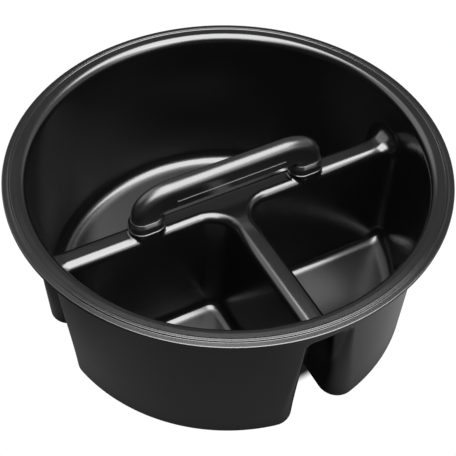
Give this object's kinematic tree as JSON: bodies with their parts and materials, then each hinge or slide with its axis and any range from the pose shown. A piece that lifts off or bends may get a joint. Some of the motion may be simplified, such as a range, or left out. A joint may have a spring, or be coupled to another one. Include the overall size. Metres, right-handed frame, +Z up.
{
  "type": "cleaning caddy",
  "caption": "Round deep tub with a rolled rim, a half-moon well, two quarter wells between hollow T-shaped dividers, and a fixed bow handle across the middle bar.",
  "frame": {"origin": "centre of the round plan, in the plane the three well bottoms rest on", "axes": "+Z up out of the wells, X along the middle bar and the handle, -Y along the stem between the two quarter wells"},
  "size_m": [0.42, 0.4198, 0.177],
  "materials": {
    "tub_plastic": "black polypropylene, satin gloss, fine moulding waviness and light scuffs",
    "handle_plastic": "black polypropylene, satin, slightly softer sheen than the tub",
    "cover_plastic": "black moulded strip, satin edge",
    "collar_plastic": "black moulded ring, satin gloss",
    "screw_steel": "zinc-plated steel",
    "washer_steel": "zinc-plated steel"
  },
  "bodies": {
    "root": {"tub": "tub_plastic", "handle_shell": "handle_plastic", "grip_cover": "cover_plastic", "collar_left": "collar_plastic", "collar_right": "collar_plastic", "handle_screws": "screw_steel", "screw_washers": "washer_steel"}
  },
  "joints": []
}
